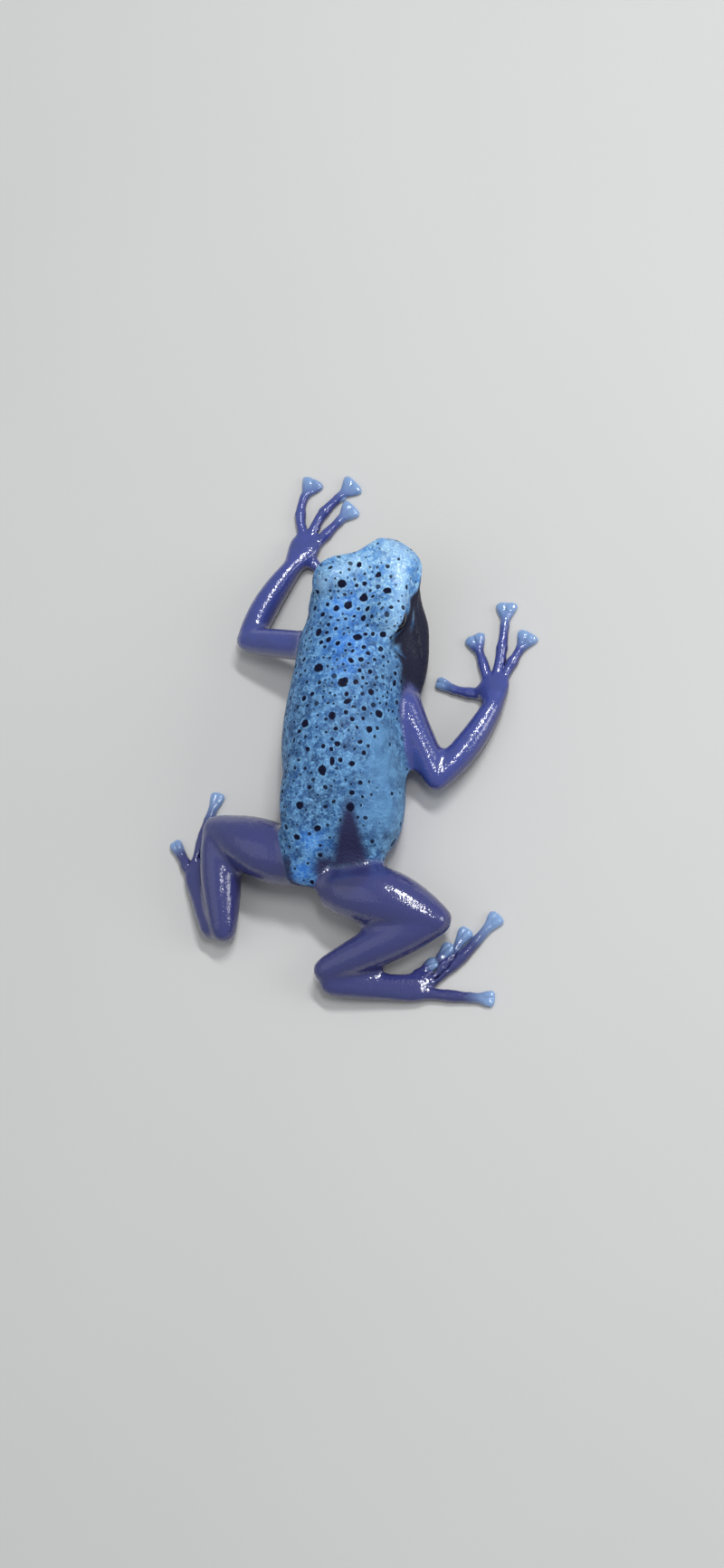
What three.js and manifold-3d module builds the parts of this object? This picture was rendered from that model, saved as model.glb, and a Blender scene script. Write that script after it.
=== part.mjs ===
// Blue poison dart frog, life size, still, resting on a floor at z = 0 in a climbing stance.
// Millimetres, +Z up, +Y towards the head, +X to the animal's right.
import * as THREE from "three";
import { mergeVertices } from "three/addons/utils/BufferGeometryUtils.js";
import Module from "manifold-3d";

const wasm = await Module();
wasm.setup();

// Driving dimensions
const GAP = 0.3; // clear space between neighbouring pieces
const HEAD_HALF_WIDE = 6.1;
const EYE_R = 2.05;
const UPPER_ARM_THICK = 1.8; // half thickness at the fullest place, as below
const FOREARM_THICK = 1.7;
const THIGH_THICK = 3.6;
const SHANK_THICK = 2.45;
const TARSUS_THICK = 1.6;
const FINGER_THICK = 0.64;
const TOE_THICK = 0.7;
const DISC_THICK = 0.45;
const DISC_Z = 0.3; // the discs are pressed on the floor

// Places of the joints
const LEFT_SHOULDER = [-0.9, 10.6, 7.0];
const LEFT_ELBOW = [-11.4, 13.8, 3.0];
const LEFT_WRIST = [-6.3, 22.9, 1.6];
const RIGHT_SHOULDER = [8.9, 3.2, 5.6];
const RIGHT_ELBOW = [11.9, -5.3, 3.0];
const RIGHT_WRIST = [18.4, 3.4, 1.6];
const LEFT_HIP = [-4.3, -14.4, 4.6];
const LEFT_KNEE = [-14.6, -9.3, 3.8];
const LEFT_HEEL = [-14.4, -20.8, 2.5];
const RIGHT_HIP = [0.9, -18.0, 4.5];
const RIGHT_KNEE = [11.9, -22.1, 4.0];
const RIGHT_HEEL = [-1.7, -26.6, 2.7];

const SKIN_BLUE = new THREE.MeshStandardMaterial({ color: 0x4f9fd8, roughness: 0.4, metalness: 0 });
const LIMB_BLUE = new THREE.MeshStandardMaterial({ color: 0x343a8c, roughness: 0.25, metalness: 0 });
const DISC_BLUE = new THREE.MeshStandardMaterial({ color: 0x6d8fce, roughness: 0.35, metalness: 0 });
const EYE_BLACK = new THREE.MeshStandardMaterial({ color: 0x0b0907, roughness: 0.05, metalness: 0 });

const RISE = new THREE.Vector3(0, 0, 1);

// A closed skin over cross-sections. A station is [x, y, z, half width, height above, depth below,
// lean in degrees, squareness]. Widths pass smoothly from one station to the next, and each end is a dome.
// Their depths can be set, from the first end to the last.
function loft(stations, { rings = 12, sides = 16, dome = 3, ends = [0, 0], grow = 0 } = {}) {
  const column = (a, b, c) =>
    new THREE.CatmullRomCurve3(stations.map((s) => new THREE.Vector3(s[a], s[b], s[c])));
  const path = column(0, 1, 2);
  const girth = column(3, 4, 5);
  const turn = new THREE.CatmullRomCurve3(
    stations.map((s) => new THREE.Vector3(s[6] || 0, s[7] || 1, 0))
  );
  const positions = [];
  const depth = (t, size) => (ends[Math.round(t)] || Math.min(size.x, size.y)) + grow;
  const ring = (t, shrink, shift) => {
    const along = path.getTangent(t).normalize();
    const side = new THREE.Vector3().crossVectors(along, RISE).normalize();
    const lean = THREE.MathUtils.degToRad(turn.getPoint(t).x);
    side.applyAxisAngle(along, lean);
    const over = new THREE.Vector3().crossVectors(side, along);
    const square = turn.getPoint(t).y;
    const size = girth.getPoint(t);
    const centre = path.getPoint(t).addScaledVector(along, shift * depth(t, size));
    for (let i = 0; i < sides; i++) {
      const angle = (i / sides) * 2 * Math.PI;
      const c = Math.cos(angle);
      const s = Math.sin(angle);
      const x = Math.sign(c) * Math.abs(c) ** square * (size.x + grow) * shrink;
      const z = Math.sign(s) * Math.abs(s) ** square * ((s > 0 ? size.y : size.z) + grow) * shrink;
      const p = centre.clone().addScaledVector(side, x).addScaledVector(over, z);
      positions.push(p.x, p.y, p.z);
    }
  };
  const pole = (t, shift) => {
    const along = path.getTangent(t).normalize();
    const size = girth.getPoint(t);
    const p = path.getPoint(t).addScaledVector(along, shift * depth(t, size));
    positions.push(p.x, p.y, p.z);
  };
  for (let k = dome - 1; k > 0; k--) {
    const a = ((k / dome) * Math.PI) / 2;
    ring(0, Math.cos(a), -Math.sin(a));
  }
  for (let i = 0; i <= rings; i++) ring(i / rings, 1, 0);
  for (let k = 1; k < dome; k++) {
    const a = ((k / dome) * Math.PI) / 2;
    ring(1, Math.cos(a), Math.sin(a));
  }
  const count = positions.length / 3 / sides;
  pole(0, -1);
  pole(1, 1);
  const first = count * sides;
  const last = first + 1;
  const index = [];
  for (let i = 0; i < sides; i++) {
    const j = (i + 1) % sides;
    for (let r = 0; r < count - 1; r++) {
      const a = r * sides + i;
      const b = r * sides + j;
      index.push(a, a + sides, b, b, a + sides, b + sides);
    }
    index.push(first, i, j);
    index.push(last, (count - 1) * sides + j, (count - 1) * sides + i);
  }
  return new THREE.BufferGeometry()
    .setAttribute("position", new THREE.Float32BufferAttribute(positions, 3))
    .setIndex(index);
}

// A manifold solid of a closed geometry.
function solid(geometry) {
  geometry.deleteAttribute("normal");
  geometry.deleteAttribute("uv");
  const merged = mergeVertices(geometry, 1e-4);
  const made = new wasm.Manifold(
    new wasm.Mesh({
      numProp: 3,
      vertProperties: new Float32Array(merged.attributes.position.array),
      triVerts: new Uint32Array(merged.index.array),
    })
  );
  if (made.volume() < 0) throw new Error("a piece is inside out");
  return made;
}

function joined(solids) {
  return solids.reduce((a, b) => a.add(b));
}

function largest(made) {
  return made.decompose().sort((a, b) => b.volume() - a.volume())[0];
}

// Half thickness along a limb: start, fullest, end, with the fullest place at a share of its length.
function swell(t, [start, full, end], fullAt) {
  const from = t < fullAt ? start : end;
  const u = t < fullAt ? t / fullAt : (1 - t) / (1 - fullAt);
  return from + (full - from) * Math.sin((u * Math.PI) / 2);
}

// The stations of a limb piece between two joints, bowed by a vector at its middle and flattened by a share.
function limb(from, to, sizes, { fullAt = 0.4, bow = [0, 0, 0], flat = 1, steps = 6 } = {}) {
  const stations = [];
  for (let i = 0; i <= steps; i++) {
    const t = i / steps;
    const arch = Math.sin(t * Math.PI);
    const at = from.map((v, k) => v + (to[k] - v) * t + bow[k] * arch);
    const thick = swell(t, sizes, fullAt);
    stations.push([...at, thick, thick * flat, thick * flat]);
  }
  return stations;
}

const DIGIT_FORM = { rings: 10, sides: 10, dome: 2, ends: [0, 0.35] };

// A finger or toe on the floor, from its root through its bends to the tip, ending in a wide flat disc.
function digit(points, { thick, disc, discLong = 1.7 }) {
  const low = points.map(([x, y, z], i) => new THREE.Vector3(x, y, i < points.length - 1 ? z : DISC_Z));
  const path = new THREE.CatmullRomCurve3(low);
  const long = path.getLength();
  const stations = [];
  const put = (t, wide, high, square = 1) => {
    const p = path.getPointAt(Math.min(1, Math.max(0, t)));
    stations.push([p.x, p.y, p.z, wide, high, high, 0, square]);
  };
  const free = 1 - discLong / long;
  for (const [share, size] of [[0, 1.15], [0.3, 0.98], [0.52, 1.1], [0.74, 0.9], [0.96, 0.88]])
    put(free * share, thick * size, thick * size);
  put(free + (1 - free) * 0.4, (thick + disc) * 0.52, DISC_THICK, 0.85);
  put(free + (1 - free) * 0.8, disc * 0.98, DISC_THICK, 0.75);
  put(1, disc, DISC_THICK * 0.85, 0.75);
  return stations;
}

// Every piece in the order it is made. Each one gives way to those before it.
const pieces = [];
const FLOOR = solid(new THREE.BoxGeometry(200, 200, 20).translate(0, 0, -10));

function overlapping(a, b) {
  return a.min.every((v, k) => v < b.max[k]) && b.min.every((v, k) => v < a.max[k]);
}

function add(name, material, build, carve = (made) => made) {
  let made = carve(build(0));
  const grown = build(GAP);
  const box = made.boundingBox();
  for (const other of pieces) {
    if (overlapping(box, other.grown.boundingBox())) made = made.subtract(other.grown);
  }
  made = largest(made.subtract(FLOOR));
  pieces.push({ name, material, made, grown });
}

function addLoft(name, material, stations, options) {
  add(name, material, (grow) => solid(loft(stations, { ...options, grow })));
}

// All of space on one side of a point, as a big box.
function halfSpace(point, direction) {
  const turn = new THREE.Quaternion().setFromUnitVectors(
    new THREE.Vector3(0, 1, 0),
    new THREE.Vector3(...direction).normalize()
  );
  const geometry = new THREE.BoxGeometry(120, 60, 120).translate(0, 30, 0);
  return solid(geometry.applyQuaternion(turn).translate(...point));
}

// The head meets the trunk at a flat face across the neck.
const NECK = [3.7, 11.4, 7];
const NECK_WAY = [0.53, 0.85, 0.05];
const BEFORE_NECK = halfSpace(NECK, NECK_WAY);
const BEHIND_NECK = halfSpace(
  NECK.map((v, k) => v + NECK_WAY[k] * GAP),
  NECK_WAY.map((v) => -v)
);

// Trunk: chest and belly, leaning to the left, with the belly flat on the floor.
const TRUNK = [
  [4.5, 13.3, 7.0, 6.4, 4.9, 4.9, 4, 0.92],
  [3.4, 10.0, 7.1, 6.6, 5.3, 5.4, 0, 0.92],
  [2.7, 5.6, 7.1, 6.7, 6.0, 6.2, -5, 0.92],
  [1.8, 1.0, 7.0, 6.8, 6.5, 6.7, -9, 0.92],
  [1.6, -3.6, 6.6, 6.9, 6.8, 6.8, -12, 0.92],
  [2.6, -8.2, 5.8, 6.3, 5.3, 6.2, -12, 0.93],
  [2.8, -11.6, 5.2, 5.2, 4.2, 5.2, -8, 0.95],
  [2.5, -13.7, 4.8, 3.5, 2.8, 3.6, -4, 1],
];

// Throat and breast: a full soft form under the jaw that swells out on the right.
const THROAT = [
  [8.3, 18.6, 4.7, 2.5, 1.6, 1.4],
  [6.6, 15.4, 4.3, 5.2, 2.4, 2.4],
  [5.8, 12.2, 4.1, 5.8, 3.0, 3.0],
  [5.3, 8.5, 4.2, 6.1, 3.2, 3.4],
  [4.8, 4.5, 4.6, 5.4, 3.0, 3.4],
];
const throatForm = (grow) => solid(loft(THROAT, { rings: 9, sides: 18, dome: 2, grow }));

function trunkForm(grow) {
  return solid(loft(TRUNK, { rings: 16, sides: 28, dome: 3, grow })).add(throatForm(grow));
}
add("trunk", SKIN_BLUE, trunkForm, (made) => made.subtract(BEFORE_NECK));
pieces[0].grown = pieces[0].grown.subtract(BEFORE_NECK);

// Rump: the narrow ridge over the hip bones, down to the vent.
const RUMP = [
  [0.4, -1.5, 9.4, 2.4, 3.0, 2.5, -8],
  [-0.8, -5.0, 9.9, 3.2, 3.2, 3.5, -8],
  [-1.7, -8.6, 9.3, 3.3, 3.0, 4.5, -8],
  [-2.3, -12.0, 7.7, 2.9, 2.6, 4.5, -6],
  [-3.0, -14.8, 6.8, 2.1, 2.0, 3.6, -3],
  [-3.5, -16.5, 6.2, 1.5, 1.3, 1.9, 0],
];
addLoft("rump", SKIN_BLUE, RUMP, { rings: 11, sides: 16, dome: 2, ends: [0, 1] });

// Head, built along +Y with the snout tip at y = 0 and the mouth at z = 0, then turned into place.
const HEAD_TURN = -39;
const HEAD_PITCH = 2;
const HEAD_ROLL = 8;
const HEAD_PLACE = new THREE.Matrix4()
  .makeTranslation(9.9, 21.65, 7.2)
  .multiply(new THREE.Matrix4().makeRotationZ(THREE.MathUtils.degToRad(HEAD_TURN)))
  .multiply(new THREE.Matrix4().makeRotationX(THREE.MathUtils.degToRad(HEAD_PITCH)))
  .multiply(new THREE.Matrix4().makeRotationY(THREE.MathUtils.degToRad(HEAD_ROLL)));
const SKULL = [
  [0, -15.0, 0, 5.0, 4.8, 4.0, 0, 0.86],
  [0, -11.5, 0, 5.6, 4.8, 3.6, 0, 0.84],
  [0, -9.2, 0, HEAD_HALF_WIDE, 4.6, 3.1, 0, 0.82],
  [0, -7.0, 0, 5.4, 4.4, 2.7, 0, 0.8],
  [0, -5.0, 0.1, 4.6, 4.0, 2.3, 0, 0.8],
  [0, -3.0, 0.2, 4.0, 3.5, 2.0, 0, 0.8],
  [0, -1.4, 0.4, 3.3, 2.9, 1.7, 0, 0.82],
];
const SKULL_FORM = { rings: 12, sides: 24, dome: 3, ends: [0, 1.4] };
const EYE_AT = [3.95, -8.0, 2.8];
const LID_RADII = [2.65, 3.3, 2.75];
const EYE_OPENING = { at: [7.0, -7.8, 2.25], radii: [2.3, 2.4, 1.8] };
const NOSTRIL_AT = [2.75, -0.95, 1.7];
const SIDES = [-1, 1];

function ball(at, radii, grow = 0, detail = 16) {
  return solid(
    new THREE.SphereGeometry(1, detail * 2, detail)
      .scale(radii[0] + grow, radii[1] + grow, radii[2] + grow)
      .translate(...at)
  );
}

const mirrored = ([x, y, z], side) => [side * x, y, z];

function headForm(grow) {
  const parts = [solid(loft(SKULL, { ...SKULL_FORM, grow }))];
  for (const side of SIDES) parts.push(ball(mirrored(EYE_AT, side), LID_RADII, grow, 8));
  return joined(parts);
}

// The line of the mouth, the nostrils and the openings for the eyes.
function carveHead(made) {
  const inner = solid(loft(SKULL, { ...SKULL_FORM, grow: -0.5 }));
  const slab = solid(new THREE.BoxGeometry(20, 10.4, 0.3).translate(0, -4.4, 0.05));
  let cut = made.subtract(slab.subtract(inner));
  for (const side of SIDES) {
    cut = cut.subtract(ball(mirrored(NOSTRIL_AT, side), [0.32, 0.32, 0.32], 0, 4));
    cut = cut.subtract(ball(mirrored(EYE_OPENING.at, side), EYE_OPENING.radii, 0, 8));
    cut = cut.subtract(ball(mirrored(EYE_AT, side), [EYE_R, EYE_R, EYE_R], GAP, 9));
  }
  return cut;
}

const inPlace = (made) => made.transform(HEAD_PLACE.elements);
add(
  "head",
  SKIN_BLUE,
  (grow) => inPlace(headForm(grow)).add(throatForm(grow)),
  () => inPlace(carveHead(headForm(0))).add(throatForm(0)).subtract(BEHIND_NECK)
);
pieces.at(-1).grown = pieces.at(-1).grown.subtract(halfSpace(NECK, NECK_WAY.map((v) => -v)));
for (const side of SIDES) {
  const name = side < 0 ? "eye_left" : "eye_right";
  const made = inPlace(ball(mirrored(EYE_AT, side), [EYE_R, EYE_R, EYE_R], 0, 9));
  pieces.push({ name, material: EYE_BLACK, made, grown: made });
}

// Arms
function arm(side, shoulder, elbow, wrist, bow) {
  addLoft(`upper_arm_${side}`, LIMB_BLUE,
    limb(shoulder, elbow, [2.0, UPPER_ARM_THICK, 1.55], { fullAt: 0.35 }), { rings: 7, sides: 12, dome: 2 });
  addLoft(`forearm_${side}`, LIMB_BLUE,
    limb(elbow, wrist, [1.5, FOREARM_THICK, 1.2], { fullAt: 0.35, bow }), { rings: 8, sides: 12, dome: 2 });
}
arm("left", LEFT_SHOULDER, LEFT_ELBOW, LEFT_WRIST, [-0.4, 0.2, 0]);
arm("right", RIGHT_SHOULDER, RIGHT_ELBOW, RIGHT_WRIST, [0.4, -0.3, 0]);

function hand(side, wrist, palm, digits) {
  const way = palm.map((v, k) => v - wrist[k]);
  addLoft(`palm_${side}`, LIMB_BLUE, [
    [...wrist, 1.3, 1.15, 1.15],
    [...wrist.map((v, k) => v + way[k] * 0.45), 1.8, 1.0, 1.0],
    [...wrist.map((v, k) => v + way[k] * 0.85), 2.2, 0.8, 0.8],
    [...wrist.map((v, k) => v + way[k] * 1.15), 1.9, 0.65, 0.65],
  ], { rings: 6, sides: 14, dome: 2 });
  digits.forEach(({ points, disc }, i) => {
    addLoft(`finger_${i + 1}_${side}`, DISC_BLUE, digit(points, { thick: FINGER_THICK, disc }), DIGIT_FORM);
  });
}
const LOW = 0.45;
hand("left", LEFT_WRIST, [-4.9, 26.0, 0.8], [
  { points: [[-5.0, 24.0, 0.7], [-3.5, 22.6, LOW], [-1.7, 21.2, LOW]], disc: 0.8 },
  { points: [[-4.4, 25.0, 0.6], [-2.4, 27.0, LOW], [0.6, 29.8, LOW]], disc: 1.45 },
  { points: [[-4.6, 26.6, 0.6], [-3.2, 29.3, LOW], [0.8, 32.8, LOW]], disc: 1.65 },
  { points: [[-5.2, 26.4, 0.6], [-5.9, 28.8, LOW], [-5.6, 31.4, LOW], [-4.3, 33.7, LOW]], disc: 1.6 },
]);
hand("right", RIGHT_WRIST, [18.0, 6.2, 0.8], [
  { points: [[17.3, 4.6, 0.6], [15.6, 5.2, LOW], [13.3, 5.9, LOW], [11.2, 7.1, LOW]], disc: 0.8 },
  { points: [[17.4, 6.0, 0.6], [16.7, 8.7, LOW], [15.6, 12.1, LOW]], disc: 1.4 },
  { points: [[18.2, 6.4, 0.6], [18.9, 9.8, LOW], [19.6, 15.6, LOW]], disc: 1.45 },
  { points: [[18.8, 6.2, 0.6], [20.2, 8.5, LOW], [22.2, 11.7, LOW]], disc: 1.5 },
]);

// Legs
function leg(side, hip, knee, heel, bows) {
  addLoft(`thigh_${side}`, LIMB_BLUE,
    limb(hip, knee, [2.9, THIGH_THICK, 2.0], { fullAt: 0.35, bow: bows[0] }), { rings: 8, sides: 16, dome: 2 });
  addLoft(`shank_${side}`, LIMB_BLUE,
    limb(knee, heel, [1.9, SHANK_THICK, 1.6], { fullAt: 0.38, bow: bows[1] }), { rings: 8, sides: 16, dome: 2 });
}
leg("left", LEFT_HIP, LEFT_KNEE, LEFT_HEEL, [[0, 0, 0.4], [0, 0, 0]]);
leg("right", RIGHT_HIP, RIGHT_KNEE, RIGHT_HEEL, [[0.1, 0.6, 0.2], [0, 0, 0]]);

function foot(side, heel, sole, digits) {
  const way = sole.map((v, k) => v - heel[k]);
  const at = (t) => heel.map((v, k) => v + way[k] * t);
  addLoft(`tarsus_${side}`, LIMB_BLUE, [
    [...at(0), 1.5, 1.5, 1.5],
    [...at(0.35), TARSUS_THICK, 1.35, 1.35],
    [...at(0.65), TARSUS_THICK, 1.1, 1.1],
    [...at(0.9), 1.75, 0.85, 0.85],
    [...at(1.05), 1.6, 0.7, 0.7],
  ], { rings: 8, sides: 12, dome: 2 });
  digits.forEach(({ points, disc }, i) => {
    addLoft(`toe_${i + 1}_${side}`, DISC_BLUE, digit(points, { thick: TOE_THICK, disc, discLong: 1.5 }), DIGIT_FORM);
  });
}
foot("left", [-16.1, -20.3, 1.8], [-18.5, -13.4, 1.0], [
  { points: [[-17.6, -14.6, 0.6], [-16.4, -13.2, LOW], [-15.6, -12.0, LOW]], disc: 0.7 },
  { points: [[-17.8, -13.8, 0.6], [-16.2, -11.9, LOW], [-14.4, -10.0, LOW]], disc: 0.75 },
  { points: [[-18.2, -13.0, 0.6], [-16.6, -10.0, LOW], [-14.2, -6.9, LOW]], disc: 0.85 },
  { points: [[-18.7, -12.8, 0.6], [-17.9, -9.0, LOW], [-16.1, -3.9, LOW]], disc: 1.0 },
  { points: [[-19.2, -13.6, 0.6], [-20.1, -11.8, LOW], [-21.5, -9.3, LOW]], disc: 0.85 },
]);
foot("right", [-1.3, -28.1, 1.8], [8.9, -29.2, 1.0], [
  { points: [[7.7, -28.2, 0.6], [9.0, -27.2, LOW], [10.6, -26.1, LOW]], disc: 0.85 },
  { points: [[8.6, -28.3, 0.6], [10.4, -26.7, LOW], [12.4, -24.4, LOW]], disc: 0.9 },
  { points: [[9.2, -28.5, 0.6], [12.0, -26.2, LOW], [14.4, -22.7, LOW]], disc: 0.95 },
  { points: [[9.6, -28.8, 0.6], [13.4, -26.2, LOW], [18.1, -21.4, LOW]], disc: 1.15 },
  { points: [[9.5, -29.7, 0.6], [13.0, -30.3, LOW], [17.4, -30.9, LOW]], disc: 1.05 },
]);

function meshOf({ name, material, made }) {
  const { vertProperties, triVerts } = made.getMesh();
  const geometry = new THREE.BufferGeometry()
    .setAttribute("position", new THREE.BufferAttribute(new Float32Array(vertProperties), 3))
    .setIndex(new THREE.BufferAttribute(new Uint32Array(triVerts), 1));
  geometry.computeVertexNormals();
  const mesh = new THREE.Mesh(geometry, material);
  mesh.name = name;
  return mesh;
}

const frog = new THREE.Group();
for (const piece of pieces) frog.add(meshOf(piece));

// The origin is on the floor, under the middle of the whole animal.
const extent = new THREE.Box3().setFromObject(frog);
const middle = extent.getCenter(new THREE.Vector3());
for (const mesh of frog.children) mesh.geometry.translate(-middle.x, -middle.y, -extent.min.z);

export default frog;
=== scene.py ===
# Blue poison dart frog, life size: its skin, eyes, markings, studio light and camera.
# Lengths are in mm in the frame the solids are modelled in, and become metres where a mesh is made.
import itertools
import math

import bmesh
import bpy
import numpy as np
import openvdb as vdb
from mathutils import Matrix, Vector
from mathutils.bvhtree import BVHTree


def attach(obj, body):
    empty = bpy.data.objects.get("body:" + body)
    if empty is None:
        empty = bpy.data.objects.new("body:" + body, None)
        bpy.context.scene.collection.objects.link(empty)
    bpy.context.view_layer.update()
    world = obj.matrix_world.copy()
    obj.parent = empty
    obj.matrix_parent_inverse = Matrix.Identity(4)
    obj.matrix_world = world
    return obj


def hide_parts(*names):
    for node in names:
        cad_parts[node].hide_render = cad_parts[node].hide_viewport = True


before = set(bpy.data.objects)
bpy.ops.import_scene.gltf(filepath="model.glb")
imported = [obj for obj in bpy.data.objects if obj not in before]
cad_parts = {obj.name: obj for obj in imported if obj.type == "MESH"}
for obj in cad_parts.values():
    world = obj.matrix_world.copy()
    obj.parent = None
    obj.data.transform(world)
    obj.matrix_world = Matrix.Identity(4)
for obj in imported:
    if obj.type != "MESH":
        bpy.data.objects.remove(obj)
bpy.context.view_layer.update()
rng = np.random.default_rng(20)

MM = 0.001
SHIFT = np.array([0.6154, 1.2883, 0.0])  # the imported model's origin in the modelling frame

BODY = ["trunk", "rump", "head"]
SIDES = ("left", "right")
ARMS = {s: [f"upper_arm_{s}", f"forearm_{s}", f"palm_{s}"] for s in SIDES}
LEGS = {s: [f"thigh_{s}", f"shank_{s}", f"tarsus_{s}"] for s in SIDES}
FINGERS = {s: [f"finger_{i}_{s}" for i in range(1, 5)] for s in SIDES}
TOES = {s: [f"toe_{i}_{s}" for i in range(1, 6)] for s in SIDES}
ARM_NODES = [n for s in SIDES for n in ARMS[s] + FINGERS[s]]
LEG_NODES = [n for s in SIDES for n in LEGS[s] + TOES[s]]
ROOTS = [group[s][0] for group in (ARMS, LEGS) for s in SIDES]
LIMBS = [n for group in (ARMS, LEGS) for s in SIDES for n in group[s]]
ENDS = ((ARMS, FINGERS), (LEGS, TOES))
HOLDERS = {n: limb[s][-1] for limb, digits in ENDS for s in SIDES for n in digits[s]}
DIGITS = list(HOLDERS)
FLESH = BODY + LIMBS + DIGITS

RIGHT_SHOULDER, RIGHT_ELBOW = (8.9, 3.2, 5.6), (11.9, -5.3, 3.0)

# The head's own frame: x to the animal's right, y forward, z up, origin at the tip of the snout
HEAD_AT = np.array([9.9, 21.65, 7.2])
HEAD_TURN, HEAD_PITCH, HEAD_ROLL = -39, 2, 8  # degrees
HEAD_LOW, HEAD_HIGH = (-9, -14, -8), (9, 3, 8)  # corners of the box that holds its forms
FACE_LOW, FACE_HIGH = (-8, -13, -7), (8, 1.5, 7)  # corners of the part with the finest mesh
EYE_AT = np.array([3.95, -8.0, 2.8])  # the right eye's centre
EYE_R = 2.05


def smooth(low, high, value):
    t = np.clip((value - low) / (high - low), 0, 1)
    return t * t * (3 - 2 * t)


def bell(distance, width):
    return np.exp(-((distance / width) ** 2))


def unit(v):
    v = np.asarray(v, float)
    return v / np.linalg.norm(v)


def within(p, low, high):
    """Which points are inside a box."""
    return ((p > low) & (p < high)).all(1)


def to_segment(p, a, b):
    """How far points are from a straight line between two places."""
    a, b = np.asarray(a, float), np.asarray(b, float)
    way = b - a
    t = np.clip(((p - a) @ way) / (way @ way), 0, 1)
    return np.linalg.norm(p - a - t[:, None] * way, axis=1)


def placed(name, data):
    """A new object of the scene."""
    made = bpy.data.objects.new(name, data)
    bpy.context.scene.collection.objects.link(made)
    return made


HEAD_AXES = np.array(
    Matrix.Rotation(math.radians(HEAD_TURN), 3, "Z")
    @ Matrix.Rotation(math.radians(HEAD_PITCH), 3, "X")
    @ Matrix.Rotation(math.radians(HEAD_ROLL), 3, "Y")
)


def to_head(points):
    return (points - HEAD_AT) @ HEAD_AXES


def from_head(points):
    return np.asarray(points) @ HEAD_AXES.T + HEAD_AT


# Distance fields of the solids

VOXEL = 0.2
BAND = 10  # voxels on each side of a surface where its distance is known
FAR = VOXEL * BAND
MARGIN = 2  # free cells round all the flesh
LAST_CELL = 1.001  # leaves a cell beyond each sampled point, for its far corners
TRANSFORM = vdb.createLinearTransform(voxelSize=VOXEL)

# Reach of the fillets between pieces
HEAD_FILLET = 0.5  # takes the mouth and nostrils out, as they are drawn anew below
BODY_FILLETS = ((BODY, 1.2), (BODY + ROOTS, 1.0), (["rump", "thigh_right"], 1.5))
LIMB_FILLET, DIGIT_FILLET = 0.5, 0.4
FILLET_ROOM, FILLET_KEPT = 4.0, 1.8  # round a limb's fillet: worked out, and kept

FINE, MIDDLE, BROAD = 0.14, 0.34, 0.75  # how widely digits, limbs and trunk are evened out
BLUR_REACH = 2.5  # in the same widths
# Differences of distance over which one of them passes into another
LIMB_TO_BODY, BODY_TO_DIGIT = (-0.5, 1.6), (-0.8, 0.6)


def box(low, size):
    """The slices of a box of cells."""
    return tuple(slice(a, a + n) for a, n in zip(low, size))


class Block:
    """A box of cells with the distance to a surface in each."""

    def __init__(self, low, values):
        self.low = np.array(low)
        self.values = values

    @property
    def high(self):
        return self.low + self.values.shape

    def part(self, low, high):
        """The cells of another box, far from the surface where this one has none."""
        out = np.full(np.subtract(high, low), FAR, np.float32)
        a, b = np.maximum(low, self.low), np.minimum(high, self.high)
        if (a < b).all():
            out[box(a - low, b - a)] = self.values[box(a - self.low, b - a)]
        return out

    def lay(self, low, values):
        """Keeps the lower of the two distances in each cell."""
        view = self.values[box(np.subtract(low, self.low), values.shape)]
        np.minimum(view, values, out=view)

    def sample(self, points):
        """The distance at points, between cells by straight lines."""
        q = points / VOXEL - self.low
        limit = np.array(self.values.shape) - LAST_CELL
        outside = ((q < 0) | (q > limit)).any(1)
        q = np.clip(q, 0, limit)
        i = q.astype(int)
        f = (q - i).astype(np.float32)
        total = np.zeros(len(q), np.float32)
        for corner in itertools.product((0, 1), repeat=3):
            d = np.array(corner[::-1])
            w = np.prod(np.where(d, f, 1 - f), axis=1)
            j = i + d
            total += w * self.values[j[:, 0], j[:, 1], j[:, 2]]
        total[outside] = FAR
        return total

    def cells(self):
        """The places of the cells, as three arrays that fit together."""
        axes = [(np.arange(n) + o) * VOXEL for n, o in zip(self.values.shape, self.low)]
        return np.meshgrid(*axes, indexing="ij", sparse=True)


def distance(points, triangles, quads, low, high):
    grid = vdb.FloatGrid.createLevelSetFromPolygons(
        points.astype(np.float32), triangles=triangles, quads=quads,
        transform=TRANSFORM, halfWidth=float(BAND),
    )
    out = np.empty(np.subtract(high, low), np.float32)
    grid.copyToArray(out, ijk=tuple(int(v) for v in low))
    return out


def polygons(block, level=0.0):
    """The surface at a distance, as points, triangles and quads."""
    grid = vdb.FloatGrid(FAR)
    grid.transform = TRANSFORM
    grid.copyFromArray(block.values - np.float32(level), ijk=tuple(int(v) for v in block.low))
    return grid.convertToPolygons(0.0, 0.0)


def closed(block, reach):
    """The same form once hollows narrower than twice the reach are filled."""
    grown = polygons(block, reach)
    return Block(block.low, distance(*grown, block.low, block.high) + np.float32(reach))


def node_points(name):
    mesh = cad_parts[name].data
    co = np.empty(len(mesh.vertices) * 3, np.float32)
    mesh.vertices.foreach_get("co", co)
    return co.reshape(-1, 3) / MM + SHIFT


def node_field(name):
    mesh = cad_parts[name].data
    mesh.calc_loop_triangles()
    tri = np.empty(len(mesh.loop_triangles) * 3, np.int32)
    mesh.loop_triangles.foreach_get("vertices", tri)
    points = node_points(name)
    low = np.floor(points.min(0) / VOXEL).astype(int) - BAND - 1
    high = np.ceil(points.max(0) / VOXEL).astype(int) + BAND + 2
    none = np.empty((0, 4), np.uint32)
    return Block(low, distance(points, tri.reshape(-1, 3).astype(np.uint32), none, low, high))


fields = {name: node_field(name) for name in FLESH}
fields["head"] = closed(fields["head"], HEAD_FILLET)


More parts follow.
